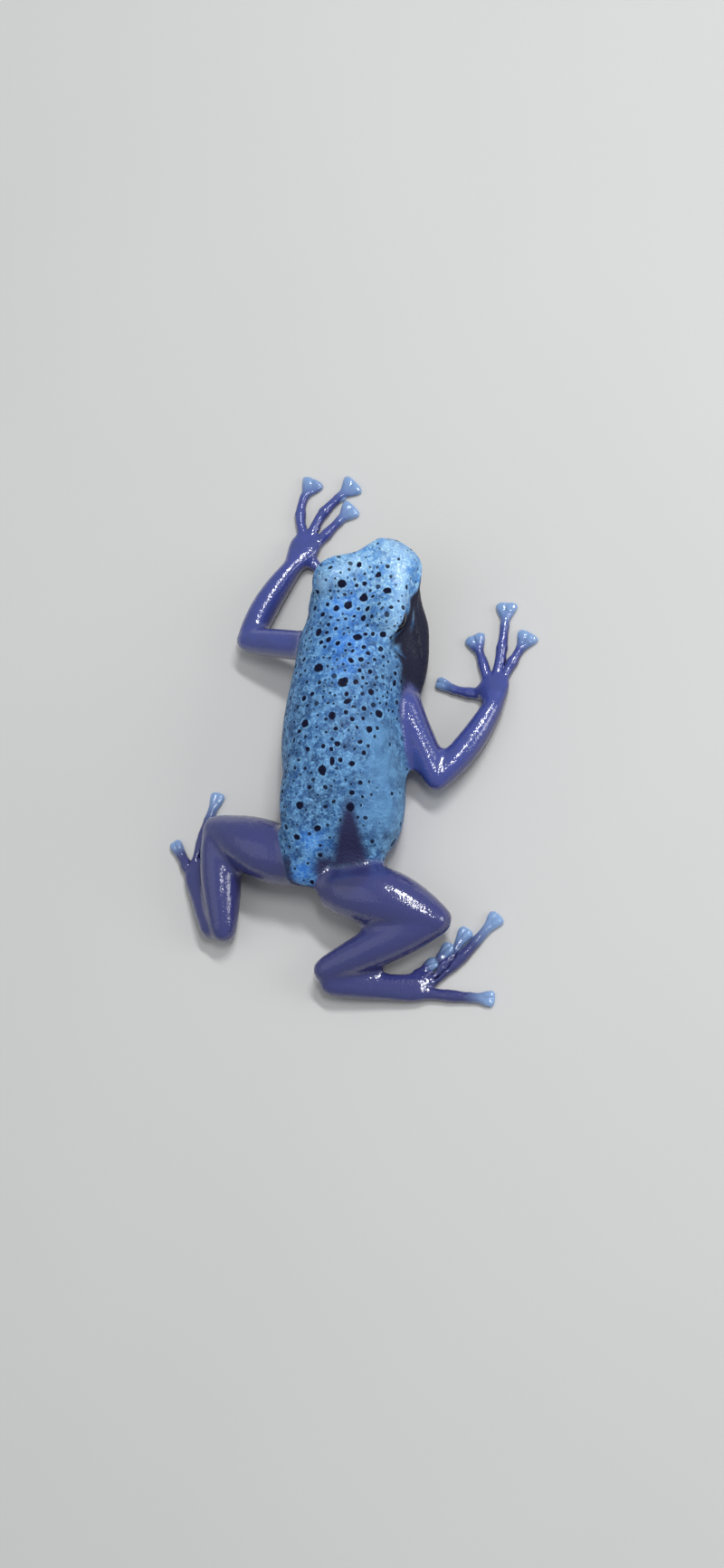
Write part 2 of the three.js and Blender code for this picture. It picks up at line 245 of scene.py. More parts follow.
def nearest(names):
    """One field over several nodes, in a box that holds all the flesh."""
    low = np.min([f.low for f in fields.values()], axis=0) - MARGIN
    high = np.max([f.high for f in fields.values()], axis=0) + MARGIN
    out = Block(low, np.full(high - low, FAR, np.float32))
    for name in names:
        out.lay(fields[name].low, fields[name].values)
    return out


def bridge(body, names, reach):
    """Fills the narrow gap where two pieces of a limb meet, with a fillet round it."""
    parts = [fields[n] for n in names]
    inner_low = np.max([p.low for p in parts], axis=0) + BAND + 1
    inner_high = np.min([p.high for p in parts], axis=0) - BAND - 1
    inner_low, inner_high = np.minimum(inner_low, inner_high), np.maximum(inner_low, inner_high)
    edge, keep = int(FILLET_ROOM / VOXEL), int(FILLET_KEPT / VOXEL)
    low, high = inner_low - edge, inner_high + edge
    both = Block(low, np.min([p.part(low, high) for p in parts], axis=0))
    filled = closed(both, reach).values
    cut = slice(edge - keep, keep - edge)
    body.lay(low + (edge - keep), filled[cut, cut, cut])


def blur(values, size):
    """Evens a field out over a length."""
    reach = int(math.ceil(BLUR_REACH * size / VOXEL))
    weights = np.exp(-0.5 * (np.arange(-reach, reach + 1) * VOXEL / size) ** 2)
    weights /= weights.sum()
    for axis in range(3):
        n = values.shape[axis]
        pad = [(reach, reach) if k == axis else (0, 0) for k in range(3)]
        wide = np.pad(values, pad, mode="edge")
        total = np.zeros_like(values)
        for o, w in enumerate(weights):
            part = [slice(None)] * 3
            part[axis] = slice(o, o + n)
            total += np.float32(w) * wide[tuple(part)]
        values = total
    return values


near_body, near_limb, near_digit = nearest(BODY), nearest(LIMBS), nearest(DIGITS)
near_root, near_rest = nearest(ROOTS), nearest([n for n in LIMBS + DIGITS if n not in ROOTS])


def whole_field():
    """One field over all the flesh: even on the trunk, crisper on limbs and finest on digits."""
    body = nearest(FLESH)
    for names, reach in BODY_FILLETS:
        body.lay(body.low, closed(nearest(names), reach).values)
    for side in SIDES:
        for group in (ARMS, LEGS):
            for pair in zip(group[side], group[side][1:]):
                bridge(body, pair, LIMB_FILLET)
    for name, holder in HOLDERS.items():
        bridge(body, (holder, name), DIGIT_FILLET)
    fine, middle, broad = (blur(body.values, size) for size in (FINE, MIDDLE, BROAD))
    limb, digit, trunk = near_limb.values, near_digit.values, near_body.values
    to_body = smooth(*LIMB_TO_BODY, np.minimum(limb, digit) - trunk)
    to_digit = smooth(*BODY_TO_DIGIT, np.minimum(trunk, limb) - digit)
    mixed = middle + (broad - middle) * to_body
    mixed = mixed + (fine - mixed) * to_digit
    return Block(body.low, mixed.astype(np.float32))


field = whole_field()


# Forms finer than the solids. Depths are into the flesh, and negative ones stand out of it.
# A range (from, to) gives where a form begins and where it is full.

def blend_min(a, b, k):
    h = np.maximum(k - np.abs(a - b), 0) / k
    return np.minimum(a, b) - h * h * k / 4


def line_form(off, line):
    """A groove or ridge beside something: its depth, distance and half width."""
    depth, at, width = line
    return depth * bell(off - at, width)


def ridge_form(p, ridge):
    """A groove or ridge between two places: the places, its half width and depth."""
    start, end, width, depth = ridge
    return depth * bell(to_segment(p, start, end), width)


LID_OUT = unit([0.955, 0.22, -0.09])  # where the opening between the lids faces
LID_UP = unit(np.array([0.0, 0.0, 1.0]) - LID_OUT[2] * LID_OUT)
LID_LONG = np.cross(LID_UP, LID_OUT)
LID_HALF_LONG, LID_HALF_HIGH, LID_HALF_MEAN = 0.86, 0.60, 0.7  # of the opening, in eye radii
LID_BACK = 3.0  # stands for all places behind the eye
UPPER_LID, LOWER_LID, LID_SWELL = 0.50, 0.30, 0.25  # thickness at the edge, and more further out
UPPER_RANGE, SWELL_RANGE = (-0.15, 0.25), (0.1, 1.6)
LID_RANGE, LID_EDGE_RANGE = (4.4, 2.6), (3.0, 2.0)
LID_BLEND, HOLE_BLEND = 0.5, 0.14
HOLE_OUT, HOLE_HALF = 0.4, 0.8  # the opening's middle beyond the ball, and half its depth
# Lines beside the edge of the opening
LID_RIM, UPPER_FOLD, LOWER_FOLD = (-0.05, 0.16, 0.16), (0.13, 0.58, 0.16), (0.10, 0.48, 0.14)
WRINKLE_DEPTH, WRINKLE_APART = 0.022, 0.42
WRINKLE_START, WRINKLE_END = (0.7, 1.0), (2.6, 1.9)


def lid_forms(q, value):
    """The lids of the right eye, and the opening between them."""
    e = q - EYE_AT
    r = np.linalg.norm(e, axis=1)
    n = e / np.maximum(r, 1e-6)[:, None]
    u, v, w = n @ LID_LONG, n @ LID_UP, n @ LID_OUT
    opening = np.sqrt((u / LID_HALF_LONG) ** 2 + (v / LID_HALF_HIGH) ** 2)
    opening = np.where(w > 0, opening, LID_BACK)
    rim = (opening - 1) * EYE_R * LID_HALF_MEAN
    upper = smooth(*UPPER_RANGE, v)
    thick = LOWER_LID + (UPPER_LID - LOWER_LID) * upper + LID_SWELL * smooth(*SWELL_RANGE, rim)
    around = smooth(*LID_RANGE, r)
    shell = blend_min(value, r - (EYE_R + thick), LID_BLEND)
    value = np.where(around > 0, value + (shell - value) * around, value)
    edge = around * smooth(*LID_EDGE_RANGE, opening)
    value = value + line_form(rim, LID_RIM) * edge
    value = value + line_form(rim, UPPER_FOLD) * edge * upper
    value = value + line_form(rim, LOWER_FOLD) * edge * (1 - upper)
    wrinkles = WRINKLE_DEPTH * np.sin(rim * 2 * math.pi / WRINKLE_APART) * upper
    value = value + wrinkles * smooth(*WRINKLE_START, rim) * smooth(*WRINKLE_END, rim) * around
    hole = np.maximum(rim, np.abs(r - EYE_R - HOLE_OUT) - HOLE_HALF)
    return -blend_min(-value, hole, HOLE_BLEND)


# On each side of the head, in its own frame
SNOUT_RIDGE = ((3.5, -5.4, 3.2), (2.5, -1.3, 2.5), 0.75, -0.22)  # from eye to nostril
SNOUT_HOLLOW = ((4.3, -4.8, 1.5), (3.3, -2.2, 1.3), 0.8, 0.16)  # below it
NOSTRIL_AT, NOSTRIL_SHAPE = (2.9, -1.0, 1.7), (1, 0.75, 1.1)
NOSTRIL_RIM, NOSTRIL_HOLE = (-0.10, 0.42, 0.2), (0.42, 0.0, 0.26)
EARDRUM_AT, EARDRUM_SHAPE = (5.5, -11.9, 0.6), (0.5, 1, 1)
EARDRUM_RIM, EARDRUM_DEPTH, EARDRUM_RANGE = (-0.09, 0.95, 0.2), 0.10, (0.95, 0.5)
EAR_FOLD = ((4.9, -10.3, 3.0), (6.2, -12.9, 1.2), 0.4, -0.12)  # from the lid down past the eardrum
# The mouth: height of its line in front, drop to the corners, and forms beside it
LIP_HEIGHT, LIP_DROP, LIP_DROP_RANGE = -0.05, 0.35, (-6.0, -10.5)
MOUTH_RANGE = (-11.0, -9.2)
UPPER_LIP, MOUTH_LINE, LOWER_LIP = (-0.12, 0.42, 0.34), (0.32, 0.0, 0.12), (-0.06, -0.4, 0.25)
LEFT_SNOUT = ((-4.4, -5.2, 2.2), (-3.1, -2.2, 2.2), 1.2, -0.16)  # fuller before the left eye
# The shallow dip between the lids
CROWN_DEPTH, CROWN_WIDE, CROWN_LONG, CROWN_LOW = 0.14, 1.7, 4.0, 2


def head_forms(p, value):
    """The skin of the head round its eyes, mouth and nostrils, at points in the head's frame."""
    for side in (-1, 1):
        q = p * np.array([side, 1, 1])
        value = value + ridge_form(q, SNOUT_RIDGE) + ridge_form(q, SNOUT_HOLLOW)
        nostril = np.linalg.norm((q - NOSTRIL_AT) * NOSTRIL_SHAPE, axis=1)
        value = value + line_form(nostril, NOSTRIL_RIM) + line_form(nostril, NOSTRIL_HOLE)
        drum = np.linalg.norm((q - EARDRUM_AT) * EARDRUM_SHAPE, axis=1)
        value = value + line_form(drum, EARDRUM_RIM) + EARDRUM_DEPTH * smooth(*EARDRUM_RANGE, drum)
        value = value + ridge_form(q, EAR_FOLD)
        value = lid_forms(q, value)
    x, y, z = p.T
    off = z - (LIP_HEIGHT - LIP_DROP * smooth(*LIP_DROP_RANGE, y))
    along = smooth(*MOUTH_RANGE, y)
    for line in (UPPER_LIP, MOUTH_LINE, LOWER_LIP):
        value = value + line_form(off, line) * along
    value = value + ridge_form(p, LEFT_SNOUT)
    dip = CROWN_DEPTH * bell(x, CROWN_WIDE) * bell(y - EYE_AT[1], CROWN_LONG)
    return value + dip * (z > CROWN_LOW)


PAD_LONG = 1.6  # length of a digit's end over which its width is read
PAD_TOP_RANGE = (0.35, 0.75)  # in the height of the end
JOINTS, JOINT_FORM = (0.36, 0.66), (-0.05, 0.0, 0.4)  # shares of a digit's length, and the swelling
SCUTE_SIDE, SCUTE_HALF_WIDE = 0.44, 0.36  # in half widths of the end
SCUTE_BACK, SCUTE_HALF_LONG = 0.75, 0.62
SCUTE_RISE, SCUTE_RANGE = 0.07, (1.15, 0.8)
SCUTE_GROOVE, GROOVE_RANGE = (0.05, 0.0, 0.12), (2.0, 1.4)


class Digit:
    """A finger or toe: its root, tip and width, read from its solid."""

    def __init__(self, name):
        self.name = name
        points = node_points(name)
        away = np.linalg.norm(points - node_points(HOLDERS[name]).mean(0), axis=1)
        self.root, self.tip = points[away.argmin()], points[away.argmax()]
        self.long = np.linalg.norm(self.tip - self.root)
        self.way = (self.tip - self.root) / self.long
        self.across = unit(np.cross(self.way, [0, 0, 1]))
        end = points[(self.tip - points) @ self.way < PAD_LONG]
        side = (end - self.tip) @ self.across
        self.half, self.middle = (side.max() - side.min()) / 2, (side.max() + side.min()) / 2
        self.floor, self.top = end[:, 2].min(), end[:, 2].max()

    def share(self, p):
        """How far along the digit points are, from 0 to 1."""
        return ((p - self.root) @ self.way) / self.long

    def forms(self, p, value):
        """Joints, and the two scutes on top of the disc with a groove between them."""
        back = (self.tip - p) @ self.way
        side = np.abs((p - self.tip) @ self.across - self.middle)
        top = smooth(*PAD_TOP_RANGE, (p[:, 2] - self.floor) / (self.top - self.floor))
        for at in JOINTS:
            value = value + line_form((self.share(p) - at) * self.long, JOINT_FORM)
        wide = (side - SCUTE_SIDE * self.half) / (SCUTE_HALF_WIDE * self.half)
        scute = np.hypot(wide, (back - SCUTE_BACK) / SCUTE_HALF_LONG)
        value = value - SCUTE_RISE * smooth(*SCUTE_RANGE, scute) * top
        return value + line_form(side, SCUTE_GROOVE) * smooth(*GROOVE_RANGE, back) * top


digits = [Digit(name) for name in DIGITS]

# The valley between rump and right flank, where the sacrum ends
GROIN_TOP, GROIN_LOW = (3.93, -8.89, 10.85), (2.99, -14.29, 8.23)
GROIN_VALLEY = (GROIN_TOP, GROIN_LOW, 1.3, 0.28)

NEAR_DIGIT, ON_DIGIT = 0.7, 0.6  # reach of the digits' forms: of all, and of each


class Skin:
    """How far points are outside the skin, for points that stay near the places they start from."""

    def __init__(self, points):
        self.head = np.flatnonzero(within(to_head(points), HEAD_LOW, HEAD_HIGH))
        close = np.flatnonzero(near_digit.sample(points) < NEAR_DIGIT)
        self.digits = [(d, close[fields[d.name].sample(points[close]) < ON_DIGIT]) for d in digits]

    def value(self, points):
        value = field.sample(points).astype(float)
        value = value + ridge_form(points, GROIN_VALLEY)
        value[self.head] = head_forms(to_head(points[self.head]), value[self.head])
        for digit, own in self.digits:
            if len(own):
                value[own] = digit.forms(points[own], value[own])
        return value


# The skin

SHAPED_BAND = 1.5  # from the head's surface, where its forms are put in the field
FINE_ON_DIGIT = 0.35
DRAW_ROUNDS, DRAW_STEP, DRAW_SHARE, DRAW_LIMIT = 4, 0.04, 0.85, 0.1
LEAST_SLOPE = 0.3  # squared


def shaped_field():
    """The field with the head's forms in it, so that it opens for the eyes, and flat on the floor."""
    corners = from_head(list(itertools.product(*zip(HEAD_LOW, HEAD_HIGH))))
    low = np.maximum(np.floor(corners.min(0) / VOXEL).astype(int) - field.low, 0)
    high = np.ceil(corners.max(0) / VOXEL).astype(int) - field.low
    high = np.minimum(high, field.values.shape)
    sub = box(low, high - low)
    values = field.values.copy()
    own = values[sub].ravel()
    places = np.broadcast_arrays(*Block(field.low + low, values[sub]).cells())
    places = np.stack(places, axis=-1).reshape(-1, 3)
    near = (np.abs(own) < SHAPED_BAND) & within(to_head(places), HEAD_LOW, HEAD_HIGH)
    own[near] = head_forms(to_head(places[near]), own[near])
    values[sub] = own.reshape(values[sub].shape)
    height = field.cells()[2]
    return Block(field.low, np.maximum(values, -height).astype(np.float32))


def largest_island(bm):
    seen, best = set(), []
    for start in bm.verts:
        if start in seen:
            continue
        stack, island = [start], []
        seen.add(start)
        while stack:
            v = stack.pop()
            island.append(v)
            for e in v.link_edges:
                o = e.other_vert(v)
                if o not in seen:
                    seen.add(o)
                    stack.append(o)
        if len(island) > len(best):
            best = island
    return set(best)


def read(mesh, what="vertices", key="co"):
    out = np.empty(len(getattr(mesh, what)) * 3, np.float32)
    getattr(mesh, what).foreach_get(key, out)
    return out.reshape(-1, 3).astype(float)


def finer(bm):
    """Halves the faces of the head's front and of the digits."""
    co = np.array([v.co for v in bm.verts])
    face = within(to_head(co), FACE_LOW, FACE_HIGH)
    for v, wanted in zip(bm.verts, face | (near_digit.sample(co) < FINE_ON_DIGIT)):
        v.tag = bool(wanted)
    edges = [e for e in bm.edges if e.verts[0].tag and e.verts[1].tag]
    bmesh.ops.subdivide_edges(bm, edges=edges, cuts=1, use_grid_fill=True)


def draw_to_skin(co):
    """Moves points along the slope of the field onto the skin."""
    near = Skin(co)
    for _ in range(DRAW_ROUNDS):
        value = near.value(co)
        slope = [near.value(co + DRAW_STEP * axis) - value for axis in np.eye(3)]
        slope = np.stack(slope, axis=1) / DRAW_STEP
        size = np.maximum((slope ** 2).sum(1), LEAST_SLOPE)
        move = DRAW_SHARE * np.clip(value / size, -DRAW_LIMIT, DRAW_LIMIT)
        co = co - move[:, None] * slope
        co[:, 2] = np.maximum(co[:, 2], 0)
    return co


def make_skin():
    points, triangles, quads = polygons(shaped_field())
    mesh = bpy.data.meshes.new("skin")
    faces = [tuple(f) for f in quads.tolist()] + [tuple(f) for f in triangles.tolist()]
    mesh.from_pydata(points.astype(float).tolist(), [], faces)
    mesh.update()
    bm = bmesh.new()
    bm.from_mesh(mesh)
    keep = largest_island(bm)
    bmesh.ops.delete(bm, geom=[v for v in bm.verts if v not in keep], context="VERTS")
    finer(bm)
    bmesh.ops.triangulate(bm, faces=bm.faces[:])
    bm.to_mesh(mesh)
    bm.free()
    co = draw_to_skin(read(mesh))
    mesh.vertices.foreach_set("co", ((co - SHIFT) * MM).astype(np.float32).ravel())
    mesh.polygons.foreach_set("use_smooth", np.ones(len(mesh.polygons), bool))
    mesh.update()
    made = placed("skin", mesh)
    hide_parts(*FLESH)
    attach(made, "root")
    return made


skin = make_skin()
skin_mesh = skin.data


# Camera: at the photograph's viewing angle

AZIMUTH, ELEVATION = math.radians(50), math.radians(65)
TOWARDS = np.array([
    math.sin(AZIMUTH) * math.cos(ELEVATION),
    -math.cos(AZIMUTH) * math.cos(ELEVATION),
    math.sin(ELEVATION),
])
UP = unit(np.array([0, 1.0, 0]) - TOWARDS[1] * TOWARDS)
RIGHT = np.cross(UP, TOWARDS)
CAMERA_FAR = 456.0
LENS, SENSOR = 90.0, 36
CLIP = (0.02, 10)  # metres
CENTRE_RIGHT, CENTRE_UP = 1.579, -3.842  # what the middle of the picture looks at
EYE_POINT = CENTRE_RIGHT * RIGHT + CENTRE_UP * UP + TOWARDS * CAMERA_FAR
PHOTO_WIDE, PHOTO_HIGH = 800, 1733
PIXEL = CAMERA_FAR / (LENS * PHOTO_HIGH / SENSOR)  # one pixel of the photograph at the animal


def add_camera():
    data = bpy.data.cameras.new("camera")
    data.lens = LENS
    data.sensor_width = SENSOR
    data.clip_start, data.clip_end = CLIP
    made = placed("camera", data)
    turn = Matrix((RIGHT, UP, TOWARDS)).transposed().to_4x4()
    made.matrix_world = Matrix.Translation(Vector((EYE_POINT - SHIFT) * MM)) @ turn
    bpy.context.scene.camera = made
    bpy.context.scene.view_settings.view_transform = "Standard"


add_camera()


# Where each colour lies, as values from 0 to 1 kept in the skin

# Soft patches: place, radius
DEEP_PATCHES = [
    ((4.2, 8.6, 12.2), 2.6), ((3.9, 6.6, 12.9), 1.9), ((3.2, 13.6, 11.6), 2.2),
    ((-3.3, -16.4, 7.9), 1.9), ((-0.9, -13.0, 9.6), 1.6),
]
# Darker patches, much of them painted shade: on the left of the back and nape, which turn from the
# light, and low on the right flank
DUSK_AND_SHADE_PATCHES = [
    ((-1.0, 2.3, 11.9), 1.8), ((-1.4, -0.9, 11.8), 1.8), ((-1.0, -3.9, 11.6), 1.9),
    ((0.0, -6.8, 11.4), 1.8), ((8.2, 5.4, 10.9), 1.8), ((3.36, -0.77, 13.23), 1.1),
    ((0.82, -8.4, 12.0), 1.8), ((-0.5, -10.6, 10.6), 1.6), ((0.2, 15.4, 9.5), 1.5),
    ((6.8, -12.6, 6.6), 2.2),
]
MINT_PATCHES = [
    ((7.6, -5.4, 9.4), 3.0), ((7.3, -1.8, 10.5), 2.6), ((6.6, -9.6, 7.9), 3.0),
    ((7.9, 6.6, 9.6), 1.2),
]
# Paler ridges of the head with painted highlight along the right lid ridge, snout and left lid, in
# its own frame: two ends, half width
PALE_AND_HIGHLIGHT_RIDGES = [
    ((0.8, -1.6, 2.9), (3.9, -5.1, 3.8), 0.8), ((3.9, -5.1, 3.8), (5.6, -9.2, 4.4), 0.9),
    ((-4.0, -9.0, 4.9), (-2.7, -4.8, 4.1), 1.0), ((0.8, -1.0, 2.6), (-0.8, -1.4, 2.7), 1.5),
]

# Height of the blue's lower edge on the head's right and left, by distance behind the snout; below it
# lies the throat's own dark colour, and on the right it reaches up to the eye as painted shade
CHEEK_Y = [0, 2, 3.2, 4.2, 5.2, 6.4, 8, 9.3, 10.4, 11.5, 12.5, 14]
CHEEK_RIGHT = [-0.25, -0.15, 0.2, 0.9, 1.45, 1.6, 1.7, 1.9, 2.4, 2.6, 3.0, 3.2]
CHEEK_LEFT = [-0.25, -0.15, 0.0, 0.3, 0.4, 0.4, 0.4, 0.5, 0.7, 0.8, 0.9, 0.9]
CHEEK_SOFT_Y, CHEEK_SOFT = [0, 5, 12], [0.10, 0.3, 0.7]  # how soft that edge is
# The same edge over the root of the right arm, by place along the animal; below it the skin is
# darker, partly as painted shade
SHOULDER_Y = [0.3, 1.5, 2.8, 3.9, 5.4, 6.4, 7.5]
SHOULDER_Z = [6.9, 7.7, 7.9, 7.8, 7.5, 7.3, 8.0]

RUMP_SIDE = ((0.1, -16.2, 7.4), (1.4, -16.4, 6.2))  # painted shade, between the rump's end and right thigh
VENT = ((-2.1, -14.4, 9.0), (-2.8, -16.7, 7.4))  # the blue end of the rump, with painted shade round it

# Where each mark begins and is full, by difference of distance, height of the normal, and place
ROOT_EDGE, LIMB_EDGE, RUMP_EDGE, LEG_EDGE = (-0.9, 0.5), (-0.3, 0.3), (-0.2, 0.3), (-0.2, 0.2)
RIM_FACING, UNDER_FACING, BELLY_FACING = (0.55, 0.05), (0.85, 0.05), (0.15, -0.55)
NEAR_RUMP, ON_TIP, TIP_END = 1.0, 0.4, 1.2
SHOULDER_ABOVE, SHOULDER_REACH, SHOULDER_X = (0.8, -0.6), (5.2, 3.0), 5
SHOULDER_BACK, SHOULDER_FRONT = (-0.4, 0.9), (8.2, 6.8)
RIM_Y, RIM_X = (1.0, -1.5), (3.0, 5.5)
THROAT_Y, THROAT_REACH = (-15.5, -12.0), (0.8, 0.2)
BELLY_Z, FRONT_Y = (6.0, 3.0), (-14.0, -3.0)
GROIN_HALF, GROIN_WIDENS, GROIN_END, GROIN_SOFT = 0.2, 1.7, 1.4, (0.7, -0.6)
RUMP_SIDE_REACH, VENT_REACH = (2.3, 0.9), (1.25, 1.9)
VENT_FRONT, VENT_BACK, VENT_SIDE, VENT_X = (-13.7, -15.2), (-21.0, -17.0), (7.0, 1.5), -1.8


def store(name, domain, values):
    kind, key = ("FLOAT_VECTOR", "vector") if values.ndim > 1 else ("FLOAT", "value")
    layer = skin_mesh.attributes.new(name, kind, domain)
    layer.data.foreach_set(key, np.asarray(values, np.float32).ravel())


def patches(co, places):
    return np.max([bell(np.linalg.norm(co - at, axis=1), radius) for at, radius in places], axis=0)


def groin_shade_of(co):
    """Painted shade: the dark wedge from the sacrum down to the roots of the thighs, and round the
    rump's end.
    """
    way = np.subtract(GROIN_LOW, GROIN_TOP)
    down = np.clip(((co - GROIN_TOP) @ way) / (way @ way), 0, GROIN_END)
    off = np.linalg.norm(co - GROIN_TOP - down[:, None] * way, axis=1)
    wedge = smooth(*GROIN_SOFT, off - GROIN_HALF - GROIN_WIDENS * down)
    wedge = np.maximum(wedge, smooth(*RUMP_SIDE_REACH, to_segment(co, *RUMP_SIDE)))
    beside = smooth(*VENT_REACH, to_segment(co, *VENT)) * smooth(*VENT_FRONT, co[:, 1])
    across = smooth(*VENT_SIDE, np.abs(co[:, 0] - VENT_X))
    return np.maximum(wedge, beside * (across * smooth(*VENT_BACK, co[:, 1])))


def limb_of(co):
    """Where the limbs' indigo lies, up to the edges of trunk and rump."""
    d_body, d_root, d_rump = near_body.sample(co), near_root.sample(co), fields["rump"].sample(co)
    root = smooth(*ROOT_EDGE, d_body - d_root)
    limb = np.maximum(root, smooth(*LIMB_EDGE, d_body - near_rest.sample(co)))
    at_rump = np.minimum(limb, smooth(*RUMP_EDGE, d_rump - d_root))
    return np.where(d_rump < NEAR_RUMP, at_rump, limb)


def shoulder_shade_of(co):
    """Darker skin over the root of the right arm, with painted shade below the blue's edge."""
    x, y, z = co.T
    shoulder = smooth(*SHOULDER_ABOVE, z - np.interp(y, SHOULDER_Y, SHOULDER_Z))
    shoulder *= smooth(*SHOULDER_BACK, y) * smooth(*SHOULDER_FRONT, y) * (x > SHOULDER_X)
    return shoulder * smooth(*SHOULDER_REACH, to_segment(co, RIGHT_SHOULDER, RIGHT_ELBOW))


def throat_and_shade_of(co):
    """The dark lower side of the head: its own colour, raised on the right up to the eye as painted
    shade.
    """
    p = to_head(co)
    behind = -p[:, 1]
    right, left = np.interp(behind, CHEEK_Y, CHEEK_RIGHT), np.interp(behind, CHEEK_Y, CHEEK_LEFT)
    line = np.where(p[:, 0] > 0, right, left)
    soft = np.interp(behind, CHEEK_SOFT_Y, CHEEK_SOFT)
    throat_and_shade = smooth(1, -1, (p[:, 2] - line) / soft) * smooth(*THROAT_Y, p[:, 1])
    return throat_and_shade * smooth(*THROAT_REACH, near_body.sample(co))


def tip_of(co):
    """How far along its digit each place is, and 0 elsewhere."""
    tip = np.zeros(len(co))
    for digit in digits:
        close = fields[digit.name].sample(co) < ON_TIP
        tip = np.where(close, np.maximum(tip, np.clip(digit.share(co), 0, TIP_END)), tip)
    return tip


def mark_skin():
    co = read(skin_mesh) / MM + SHIFT
    p = to_head(co)
    up = read(skin_mesh, "vertices", "normal")[:, 2]
    legs = nearest(ARM_NODES).sample(co) - nearest(LEG_NODES).sample(co)
    ridges = [bell(to_segment(p, a, b), wide) for a, b, wide in PALE_AND_HIGHLIGHT_RIDGES]
    marks = {
        "limb": limb_of(co),
        "shade": shoulder_shade_of(co),
        "groin_shade": groin_shade_of(co),
        # painted shade: the lower right flank towards the rear, greyer where it faces down
        "rim": smooth(*RIM_FACING, up) * smooth(*RIM_Y, co[:, 1]) * smooth(*RIM_X, co[:, 0]),
        "leg": smooth(*LEG_EDGE, legs),
        # the undersides, darker partly in their own colour and partly as painted shade
        "under_shade": smooth(*UNDER_FACING, up),
        "tip": tip_of(co),
        "throat_and_shade": throat_and_shade_of(co),
        "belly": smooth(*BELLY_FACING, up) * smooth(*BELLY_Z, co[:, 2]),
        "front": smooth(*FRONT_Y, p[:, 1]),
        "deep": patches(co, DEEP_PATCHES),
        "dusk_and_shade": patches(co, DUSK_AND_SHADE_PATCHES),
        "mint": patches(co, MINT_PATCHES),
        "pale_and_highlight": np.max(ridges, axis=0),
    }
    for name, values in marks.items():
        store(name, "POINT", values)


mark_skin()


# Dark spots. The large ones tell this animal and are placed by the photograph: pixel across, pixel
# down, radius in pixels, and for a long one how much longer it is and its direction in degrees.
HEAD_SPOTS = [
    (378, 645, 4.6, 0.2, 0), (402, 661, 4.6, 0.2, 90), (385, 669, 4.4, 0.15, 90),
    (428, 653, 4.4, 0.3, 60), (372, 672, 3.4), (357, 679, 2.8), (402, 683, 3.4),
    (406, 673, 3.0, 0.5, 10), (418, 635, 3.0, 0.5, 50), (397, 624, 2.9, 0.4, 80), (351, 654, 2.8),
    (403, 645, 2.7), (394, 647, 2.2), (362, 668, 2.4), (423, 701, 3.4), (412, 659, 2.2),
    (365, 653, 1.8), (403, 634, 1.9), (409, 627, 1.5), (417, 627, 1.7), (409, 640, 1.5),
    (432, 637, 1.9), (419, 667, 1.9, 0.5, 60), (422, 672, 1.8, 0.5, 45), (432, 671, 2.2, 0.3, 20),
    (411, 681, 2.1, 0.4, 45), (382, 684, 2.0), (365, 627, 2.1, 0.4, 20), (360, 641, 1.7),
    (381, 657, 1.8, 0.5, 0), (366, 661, 1.7, 0.4, 20), (427, 687, 1.5, 0.4, 80), (436, 692, 1.6),
    (441, 692, 1.6), (361, 699, 2.3),
]
NECK_SPOTS = [
    (395, 704, 4.4, 0.3, 170), (352, 699, 4.0, 0.4, 90), (363, 690, 2.4), (371, 695, 2.5),
    (373, 711, 2.9), (355, 710, 2.7), (363, 707, 2.8, 0.4, 70), (404, 701, 2.4),
    (412, 701, 2.4, 0.3, 80), (386, 712, 2.2), (402, 715, 2.6, 0.3, 60), (407, 722, 2.5),
    (388, 730, 2.6, 0.6, 130), (399, 729, 3.0), (414, 729, 2.2), (407, 733, 1.7),
    (336, 729, 2.4, 0.4, 20), (339, 718, 1.8), (379, 734, 1.8), (369, 720, 1.6), (352, 738, 5.6),
]
BACK_SPOTS = [
    (379, 754, 5.6), (393, 754, 3.1), (397, 741, 2.4), (409, 742, 2.6), (410, 765, 3.6),
    (401, 749, 2.2), (414, 757, 1.9), (400, 759, 1.6), (383, 767, 2.6, 0.3, 80), (345, 767, 2.6),
    (336, 772, 3.2), (332, 746, 2.0), (339, 754, 2.0), (329, 781, 2.0), (384, 775, 2.7, 0.6, 20),
    (391, 781, 1.8, 0.6, 0), (402, 783, 2.8), (382, 787, 2.4), (367, 791, 4.2, 0.2, 110),
    (337, 800, 4.6), (389, 795, 2.6), (401, 794, 2.3), (419, 789, 4.6), (427, 778, 1.8, 0.5, 60),
    (420, 777, 1.7), (436, 755, 2.6, 0.6, 50), (331, 808, 2.4), (360, 795, 2.0), (408, 806, 3.8),
    (371, 805, 2.4), (360, 809, 1.9), (414, 814, 1.9, 0.4, 20), (385, 807, 1.5),
    (325, 818, 1.9, 0.6, 80), (367, 817, 2.0), (373, 822, 3.1), (340, 828, 2.9), (366, 828, 2.3),
    (402, 832, 2.6), (376, 840, 2.6), (367, 841, 2.6, 0.7, 90), (389, 844, 3.2), (330, 840, 2.0),
    (356, 851, 4.4, 0.5, 100),
]
RUMP_SPOTS = [
    (316, 853, 2.0), (326, 849, 2.0), (337, 849, 2.0), (332, 856, 1.7), (324, 863, 1.6),
    (344, 854, 1.5), (342, 870, 2.2), (372, 849, 1.8), (369, 863, 1.6), (382, 862, 1.7),
    (408, 864, 1.7), (331, 890, 4.1), (389, 876, 3.0), (387, 892, 4.6, 0.2, 90), (351, 915, 3.6),
    (328, 925, 3.6), (345, 975, 2.6),
]

FAINT_RADIUS, FAINTEST = (1.2, 2.4), 0.75  # small placed spots are fainter, by radius in pixels
